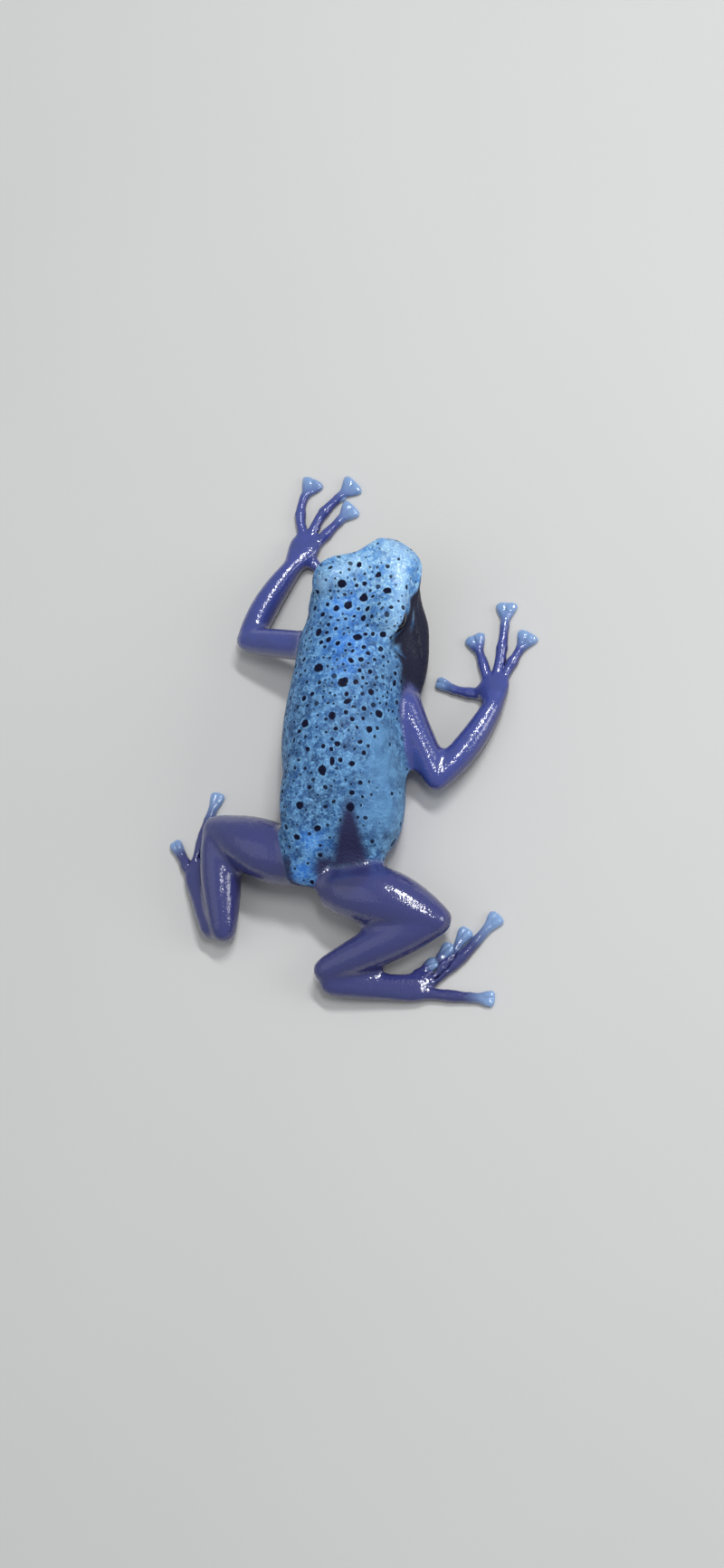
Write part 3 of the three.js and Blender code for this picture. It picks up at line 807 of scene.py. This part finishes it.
# Random spots: tries, then radius, gap to the next and darkness, each as least, spread and power
MEDIUM_SPOTS = (1400, (0.13, 0.18, 2), (0.22, 0.8, 1), (0.85, 0.15, 1))
SMALL_SPOTS = (2400, (0.07, 0.08, 1), (0.15, 0.9, 1), (0.5, 0.5, 1))
LOW_SPOTS = (260, (0.25, 0.4, 2), (0.7, 1.2, 1), (0.7, 0.3, 1))
LONGER, TILT = 0.5, 0.1  # how much longer at most, and the rise of the long way

# Where they may lie: edges of trunk and cheek, and normals of upper side and flanks
TRUNK_EDGE, ABOVE_CHEEK, NECK_Y = (-0.3, 0.3), (0.1, 0.6), -13
UPPER_FACING, LOWER_FACING, ABOVE_FLOOR = (-0.25, 0.35), (0.1, -0.3), (0.4, 1.2)
# Fewer: share taken away, and where
FEW_SNOUT, SNOUT_Y = 0.92, (-6.5, -2.5)
FEW_MINT = 0.9
FEW_RUMP, RUMP_Y = 0.8, (-6.0, -12.5)
GROIN_SHARE = (0.2, 0.8)
FEW_FLANK, FLANK_X, FLANK_Y = 0.95, (5.6, 7.2), (1.0, -2.0)
# More along the spine: share added, its x, slant and half width, and where
MORE_SPINE, SPINE_X, SPINE_SLANT, SPINE_WIDE, SPINE_Y = 1.2, 4.2, 0.1, 2.6, (-6, 0)
CHUNK = 20000  # faces handled together


def drawn(least, spread, power):
    return least + spread * rng.random() ** power


class Spots:
    """Dark spots on the skin: places, radii, long axes and how dark each is."""

    def __init__(self):
        self.at, self.size, self.way, self.dark = [], [], [], []

    def add(self, *spot):
        for values, value in zip((self.at, self.size, self.way, self.dark), spot):
            values.append(value)

    def cast(self, tree, u, v, radius, longer=0.0, degrees=0.0):
        """A spot where the photograph has it."""
        across, up = u - PHOTO_WIDE / 2, PHOTO_HIGH / 2 - v
        way = Vector(-TOWARDS * CAMERA_FAR + (RIGHT * across + UP * up) * PIXEL).normalized()
        hit, normal, _, _ = tree.ray_cast(Vector((EYE_POINT - SHIFT) * MM), way)
        if hit is None:
            return
        a, normal = math.radians(degrees), np.array(normal)
        along = RIGHT * math.cos(a) + UP * math.sin(a)
        along = unit(along - normal * (along @ normal))
        dark = smooth(*FAINT_RADIUS, radius) * (1 - FAINTEST) + FAINTEST
        self.add(np.array(hit) / MM + SHIFT, radius * PIXEL, along * longer, dark)

    def scatter(self, centres, normals, weights, kind):
        """Spots at faces picked by weight, each clear of those before it."""
        tries, radius, gap, dark = kind
        for k in rng.choice(len(weights), size=tries, p=weights / weights.sum()):
            r = drawn(*radius)
            at, size = np.array(self.at), np.array(self.size)
            if (np.linalg.norm(at - centres[k], axis=1) - size - r).min() < drawn(*gap):
                continue
            a = rng.random() * 2 * math.pi
            along = np.array([math.cos(a), math.sin(a), TILT])
            along = unit(along - normals[k] * (along @ normals[k]))
            self.add(centres[k], r, along * LONGER * rng.random(), drawn(*dark))


def spot_weights(centres, normals, areas):
    """How likely a random spot is on each face of the upper side, and on each of the flanks."""
    x, y, z = centres.T
    p = to_head(centres)
    limbs = np.minimum(near_limb.sample(centres), near_digit.sample(centres))
    trunk = smooth(*TRUNK_EDGE, limbs - near_body.sample(centres))
    cheek = np.interp(-p[:, 1], CHEEK_Y, CHEEK_RIGHT)
    above = np.where(p[:, 1] > NECK_Y, smooth(*ABOVE_CHEEK, p[:, 2] - cheek), 1.0)
    blue = areas * trunk * above
    top = blue * smooth(*UPPER_FACING, normals[:, 2])
    top *= 1 - FEW_SNOUT * smooth(*SNOUT_Y, p[:, 1])
    top *= 1 - FEW_MINT * patches(centres, MINT_PATCHES)
    top *= 1 - FEW_RUMP * smooth(*RUMP_Y, y)
    top *= 1 - smooth(*GROIN_SHARE, groin_shade_of(centres))
    top *= 1 - FEW_FLANK * smooth(*FLANK_X, x) * smooth(*FLANK_Y, y)
    spine = bell(x - SPINE_X - SPINE_SLANT * y, SPINE_WIDE)
    top *= 1 + MORE_SPINE * spine * smooth(*SPINE_Y, y)
    low = blue * smooth(*LOWER_FACING, normals[:, 2]) * smooth(*ABOVE_FLOOR, z)
    return top.astype(float), low.astype(float)


def spot_skin():
    spots = Spots()
    tree = BVHTree.FromObject(skin, bpy.context.evaluated_depsgraph_get())
    for place in HEAD_SPOTS + NECK_SPOTS + BACK_SPOTS + RUMP_SPOTS:
        spots.cast(tree, *place)

    centres = read(skin_mesh, "polygons", "center") / MM + SHIFT
    normals = read(skin_mesh, "polygons", "normal")
    areas = np.empty(len(skin_mesh.polygons), np.float32)
    skin_mesh.polygons.foreach_get("area", areas)
    top, low = spot_weights(centres, normals, areas)
    for weights, kind in ((top, MEDIUM_SPOTS), (top, SMALL_SPOTS), (low, LOW_SPOTS)):
        spots.scatter(centres, normals, weights, kind)

    # Each face keeps the spot that is nearest to it
    at, size = np.array(spots.at, np.float32), np.array(spots.size, np.float32)
    which = np.empty(len(centres), int)
    for start in range(0, len(centres), CHUNK):
        part = centres[start:start + CHUNK].astype(np.float32)
        away = np.linalg.norm(part[:, None] - at[None], axis=2) - size[None]
        which[start:start + CHUNK] = away.argmin(1)
    store("spot_at", "FACE", (at[which] - SHIFT) * MM)
    store("spot_size", "FACE", size[which] * MM)
    store("spot_way", "FACE", np.array(spots.way, np.float32)[which])
    store("spot_dark", "FACE", np.array(spots.dark, np.float32)[which])


spot_skin()


# Materials

class Graph:
    """Short names for the nodes of one material."""

    def __init__(self, name):
        self.material = bpy.data.materials.new(name)
        self.material.use_nodes = True
        self.tree = self.material.node_tree
        self.shader = self.tree.nodes["Principled BSDF"]
        self.place = self.node("ShaderNodeTexCoord").outputs["Object"]

    def node(self, kind, inputs=(), **settings):
        """A node with its settings, and with values or links for its inputs."""
        made = self.tree.nodes.new(kind)
        for key, value in settings.items():
            setattr(made, key, value)
        for key, value in dict(inputs).items():
            self.put(made.inputs[key], value)
        return made

    def put(self, socket, value):
        if isinstance(value, bpy.types.NodeSocket):
            self.tree.links.new(value, socket)
        elif socket.type == "RGBA":
            socket.default_value = (*value, 1)
        else:
            socket.default_value = value

    def set(self, **values):
        for key, value in values.items():
            self.put(self.shader.inputs[key.replace("_", " ")], value)

    def mark(self, name, output="Fac"):
        return self.node("ShaderNodeAttribute", attribute_name=name).outputs[output]

    def math(self, operation, a, b):
        return self.node("ShaderNodeMath", {0: a, 1: b}, operation=operation).outputs[0]

    def times(self, a, b):
        return self.math("MULTIPLY", a, b)

    def plus(self, a, b):
        return self.math("ADD", a, b)

    def less(self, a, b):
        return self.math("SUBTRACT", a, b)

    def vector(self, operation, inputs, output=0):
        made = self.node("ShaderNodeVectorMath", inputs, operation=operation)
        return made.outputs[output]

    def range(self, value, low, high, out_low=0.0, out_high=1.0):
        names = ("Value", "From Min", "From Max", "To Min", "To Max")
        inputs = dict(zip(names, (value, low, high, out_low, out_high)))
        made = self.node("ShaderNodeMapRange", inputs, interpolation_type="SMOOTHSTEP")
        return made.outputs[0]

    def mix(self, factor, a, b):
        made = self.node("ShaderNodeMix", {"Factor": factor, 6: a, 7: b}, data_type="RGBA")
        return made.outputs[2]

    def noise(self, per_mm, detail, roughness=0.5):
        inputs = {"Scale": per_mm / MM, "Detail": detail, "Roughness": roughness}
        return self.node("ShaderNodeTexNoise", {"Vector": self.place, **inputs}).outputs["Fac"]

    def cells(self, per_mm):
        inputs = {"Vector": self.place, "Scale": per_mm / MM}
        return self.node("ShaderNodeTexVoronoi", inputs).outputs["Distance"]

    def bump(self, height, depth):
        inputs = {"Distance": depth * MM, "Strength": 1.0, "Height": height}
        made = self.node("ShaderNodeBump", inputs).outputs[0]
        self.set(Normal=made, Coat_Normal=made)


SKY = (0.032, 0.112, 0.300)
HEAD_SKY = (0.066, 0.250, 0.640)
PALE_BACK = (0.215, 0.490, 0.830)
PALE_HEAD = (0.460, 0.780, 1.000)
PALE_AND_HIGHLIGHT = (0.310, 0.550, 0.860)
DEEP = (0.048, 0.240, 0.820)
DUSK = (0.022, 0.052, 0.135)
MINT = (0.120, 0.290, 0.530)
FLANK_SHADE = (0.110, 0.210, 0.330)
INDIGO = (0.052, 0.074, 0.322)
PLUM = (0.039, 0.046, 0.200)
VIOLET_AND_SHADE = (0.026, 0.022, 0.115)
MAUVE = (0.040, 0.062, 0.200)
GROIN_SHADE = (0.028, 0.030, 0.090)
DISC = (0.250, 0.410, 0.710)
NIGHT = (0.002, 0.003, 0.022)
THROAT_AND_SHADE = (0.014, 0.015, 0.036)
BELLY = (0.040, 0.100, 0.310)

# Noise: waves per mm, detail and, for some, roughness. Cells: how many per mm.
RAGGED, CLOUD, NET_NOISE, RING_NOISE = (1.7, 2.0), (0.6, 3.0), (0.9, 2.0), (1.3, 2.0)
DULL_NOISE, FINE_NOISE, FLECKS, GRAIN = (1.2, 3.0), (7.0, 2.0), (0.95, 4.0, 0.62), (3.4, 3.0, 0.6)
NET_CELLS, GRANULE_CELLS = 1.7, 3.2

# Ranges of a pattern, from where it begins to where it is full
SPOT_EDGE, HALO_EDGE, SPOT_RAGGED = (1.12, 0.88), (1.95, 1.25), 0.9
SHADOW_RANGE, FLECK_RANGE, GRAIN_RANGE = (0.48, 0.64), (0.50, 0.59), (0.48, 0.62)
NET_RANGE, NET_PATCHES = (0.18, 0.60), (0.40, 0.60)
RING_RANGE = (0.42, 0.62, 0.05, 0.7)  # and its strength at both ends
GRAIN_IN_PALE = (0.0, 1.0, 0.5, 1.0)
LIMB_CLOUD_RANGE, DISC_RANGE, GRANULE_RANGE = (0.45, 0.7), (0.55, 1.0), (0.0, 0.75)

# Tints laid over the blue in turn, and how strong each is; dusk is in part painted shade, rim is
# painted shade on the lower right flank, and the head's pale ridges carry painted highlight
UNDER_PALE = (("deep", 0.85, DEEP), ("dusk_and_shade", 0.75, DUSK), ("mint", 0.85, MINT),
              ("pale_and_highlight", 0.85, PALE_AND_HIGHLIGHT), ("rim", 0.6, FLANK_SHADE))
# Laid over the pale network in turn: the belly's colour, painted shade over the right shoulder, and
# the dark throat with painted shade up the right cheek
OVER_PALE = (("belly", BELLY), ("shade", MAUVE), ("throat_and_shade", THROAT_AND_SHADE))
MINT_CALM = 0.75  # how much of the pattern the mint patches hide
SHADOW_BACK, SHADOW_LESS = 0.65, 0.35
FLECK_STRONG, NET_STRONG, GRAIN_STRONG = 0.95, 0.8, 0.3
LIMB_CLOUD, UNDER_STRONG, GROIN_LESS = 0.35, 0.8, 0.5

# Gloss: roughness of dry skin, and what noise, spots and wet limbs change
DULL, DULL_SPREAD, DULL_SPOT, DULL_LIMB_LESS = 0.38, 0.2, 0.3, 0.14
WET_DRY, WET_LIMB, WET_BRIGHT = 0.03, 0.9, 0.7
GRANULE_DEPTH, FINE_SHARE, LIMB_SMOOTH = 0.05, 0.5, 0.7


def spot_nodes(g):
    """The dark spots and the rings round them, from the spot that each face keeps."""
    offset = g.vector("SUBTRACT", {0: g.place, 1: g.mark("spot_at", "Vector")})
    way = g.mark("spot_way", "Vector")
    along = g.vector("DOT_PRODUCT", {0: offset, 1: way}, 1)
    shrunk = g.vector("SUBTRACT", {0: offset, 1: g.vector("SCALE", {0: way, "Scale": along})})
    reach = g.math("DIVIDE", g.vector("LENGTH", {0: shrunk}, 1), g.mark("spot_size"))
    edge = g.plus(reach, g.times(g.less(g.noise(*RAGGED), 0.5), SPOT_RAGGED))
    dark = g.mark("spot_dark")
    return g.times(g.range(edge, *SPOT_EDGE), dark), g.times(g.range(edge, *HALO_EDGE), dark)


def blue_nodes(g, halo):
    """The blue of head and back, with a fine network of paler skin."""
    front = g.mark("front")
    blue = g.mix(front, SKY, HEAD_SKY)
    for name, share, colour in UNDER_PALE:
        blue = g.mix(g.times(g.mark(name), share), blue, colour)
    calm = g.less(1.0, g.times(g.mark("mint"), MINT_CALM))
    shadow = g.times(g.range(g.noise(*CLOUD), *SHADOW_RANGE), calm)
    strength = g.less(SHADOW_BACK, g.times(front, SHADOW_LESS))
    blue = g.mix(g.times(shadow, strength), blue, DUSK)
    # Flecks of about half a millimetre, finer granules, and rings round the spots
    flecks = g.range(g.noise(*FLECKS), *FLECK_RANGE)
    network = g.range(g.cells(NET_CELLS), *NET_RANGE)
    network = g.times(network, g.range(g.noise(*NET_NOISE), *NET_PATCHES))
    grain = g.range(g.noise(*GRAIN), *GRAIN_RANGE)
    pale = g.math("MAXIMUM", g.times(flecks, FLECK_STRONG), g.times(network, NET_STRONG))
    pale = g.times(pale, g.range(grain, *GRAIN_IN_PALE))
    pale = g.math("MAXIMUM", pale, g.times(grain, GRAIN_STRONG))
    ring = g.times(halo, g.range(g.noise(*RING_NOISE), *RING_RANGE))
    pale = g.math("MAXIMUM", g.times(pale, calm), ring)
    blue = g.mix(pale, blue, g.mix(front, PALE_BACK, PALE_HEAD))
    for name, colour in OVER_PALE:
        blue = g.mix(g.mark(name), blue, colour)
    return blue


def limb_nodes(g):
    """The indigo of the limbs, paler on the discs, darker on their undersides partly in their own
    colour and partly as painted shade.
    """
    colour = g.mix(g.mark("leg"), INDIGO, PLUM)
    cloud = g.range(g.noise(*CLOUD), *LIMB_CLOUD_RANGE)
    colour = g.mix(g.times(cloud, LIMB_CLOUD), colour, MAUVE)
    colour = g.mix(g.times(g.mark("under_shade"), UNDER_STRONG), colour, VIOLET_AND_SHADE)
    return g.mix(g.range(g.mark("tip"), *DISC_RANGE), colour, DISC)


def skin_material():
    g = Graph("frog_skin")
    limb = g.mark("limb")
    spot, halo = spot_nodes(g)
    # Painted shade in the hollow between rump, flank and thighs, lighter where it runs onto the limbs
    groin_shade = g.times(g.mark("groin_shade"), g.less(1.0, g.times(limb, GROIN_LESS)))
    colour = g.mix(groin_shade, g.mix(limb, blue_nodes(g, halo), limb_nodes(g)), GROIN_SHADE)
    g.set(Base_Color=g.mix(g.times(spot, g.less(1.0, limb)), colour, NIGHT))

    dull = g.plus(g.times(g.noise(*DULL_NOISE), DULL_SPREAD), DULL)
    dull = g.plus(dull, g.times(spot, DULL_SPOT))
    g.set(Roughness=g.less(dull, g.times(limb, DULL_LIMB_LESS)))
    g.set(Specular_IOR_Level=0.14, Coat_Roughness=0.10, Coat_IOR=1.8)
    wet = g.plus(g.times(limb, WET_LIMB), g.times(g.mark("pale_and_highlight"), WET_BRIGHT))
    g.set(Coat_Weight=g.plus(WET_DRY, g.times(wet, g.less(1.0, spot))))

    granules = g.less(1.0, g.range(g.cells(GRANULE_CELLS), *GRANULE_RANGE))
    height = g.plus(granules, g.times(g.noise(*FINE_NOISE), FINE_SHARE))
    g.bump(g.times(height, g.less(1.0, g.times(limb, LIMB_SMOOTH))), GRANULE_DEPTH)
    return g.material


skin_mesh.materials.append(skin_material())


# Eyes

# The cornea's rise, the share of the radius where it begins, the rest, and its curve
CORNEA_RISE, CORNEA_FROM, CORNEA_LONG, CORNEA_CURVE = 0.035, 0.55, 0.45, 1.5
PUPIL_EDGE = (0.80, 0.86)  # share of the radius towards the front
IRIS_NOISE, IRIS_RANGE = (3.0, 3.0), (0.4, 0.7)
IRIS_DARK, IRIS_BROWN, PUPIL = (0.006, 0.004, 0.003), (0.022, 0.013, 0.007), (0.001, 0.001, 0.001)


def eye_place(side):
    """The centre of an eye and the way it looks."""
    mirror = [side, 1, 1]
    return from_head(EYE_AT * mirror) - SHIFT, HEAD_AXES @ (LID_OUT * mirror)


def eyeball(side):
    """The ball, with the cornea standing a little proud between the lids."""
    name = "eyeball_right" if side > 0 else "eyeball_left"
    bm = bmesh.new()
    bmesh.ops.create_uvsphere(bm, u_segments=64, v_segments=40, radius=1.0)
    centre, out = eye_place(side)
    turn = Vector(out).to_track_quat("Z", "Y").to_matrix()
    for v in bm.verts:
        front = max(0.0, (v.co.z - CORNEA_FROM) / CORNEA_LONG)
        bulge = 1 + CORNEA_RISE * front ** CORNEA_CURVE
        v.co = (Vector(centre) + turn @ (v.co * EYE_R * bulge)) * MM
    data = bpy.data.meshes.new(name)
    bm.to_mesh(data)
    bm.free()
    data.polygons.foreach_set("use_smooth", np.ones(len(data.polygons), bool))
    made = placed(name, data)
    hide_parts("eye_right" if side > 0 else "eye_left")
    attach(made, "root")
    return made


def eye_material(side):
    """Nearly black, with a faint brown iris round the pupil."""
    g = Graph("eye_right" if side > 0 else "eye_left")
    centre, out = eye_place(side)
    offset = g.vector("SUBTRACT", {0: g.place, 1: tuple(centre * MM)})
    share = g.math("DIVIDE", g.vector("DOT_PRODUCT", {0: offset, 1: tuple(out)}, 1), EYE_R * MM)
    iris = g.mix(g.range(g.noise(*IRIS_NOISE), *IRIS_RANGE), IRIS_DARK, IRIS_BROWN)
    g.set(Base_Color=g.mix(g.range(share, *PUPIL_EDGE), iris, PUPIL))
    g.set(Roughness=0.04, Specular_IOR_Level=0.5)
    return g.material


for side in (-1, 1):
    eyeball(side).data.materials.append(eye_material(side))


# Floor and light

FLOOR_HALF = 0.8  # metres
FLOOR_GREY, FLOOR_PALE, FLOOR_NOISE = (0.66, 0.66, 0.65), (0.70, 0.70, 0.69), (0.02, 2.0)
AIR, AIR_STRENGTH = (0.93, 0.96, 1.0, 1), 0.32
LIT = Vector((0, 0, 0.005))  # what the lamps are aimed at
# Soft boxes: metres to the camera's right, up and towards it, size in metres, and power
LAMPS = {
    "key": (0.04, 0.30, 0.36, (0.17, 0.04), 0.95),
    "front": (0.02, 0.13, 0.46, (0.13, 0.025), 0.42),
    "fill": (0.36, 0.08, 0.38, (0.20, 0.20), 0.50),
    "side": (-0.45, 0.05, 0.30, (0.45, 0.45), 0.18),
}


def add_floor():
    data = bpy.data.meshes.new("floor")
    corners = [(x * FLOOR_HALF, y * FLOOR_HALF, 0) for x, y in ((-1, -1), (1, -1), (1, 1), (-1, 1))]
    data.from_pydata(corners, [], [(0, 1, 2, 3)])
    made = placed("floor", data)
    g = Graph("floor")
    g.set(Base_Color=g.mix(g.noise(*FLOOR_NOISE), FLOOR_GREY, FLOOR_PALE), Roughness=0.85)
    data.materials.append(g.material)


def add_lamp(name, right, up, towards, size, power):
    at = Vector(RIGHT * right + UP * up + TOWARDS * towards)
    data = bpy.data.lights.new(name, "AREA")
    data.shape = "RECTANGLE"
    data.size, data.size_y = size
    data.energy = power
    made = placed(name, data)
    made.location = at
    made.rotation_mode = "QUATERNION"
    made.rotation_quaternion = (LIT - at).to_track_quat("-Z", "Y")


add_floor()
for lamp, settings in LAMPS.items():
    add_lamp(lamp, *settings)

world = bpy.data.worlds.new("studio")
bpy.context.scene.world = world
world.use_nodes = True
background = world.node_tree.nodes["Background"]
background.inputs["Color"].default_value = AIR
background.inputs["Strength"].default_value = AIR_STRENGTH
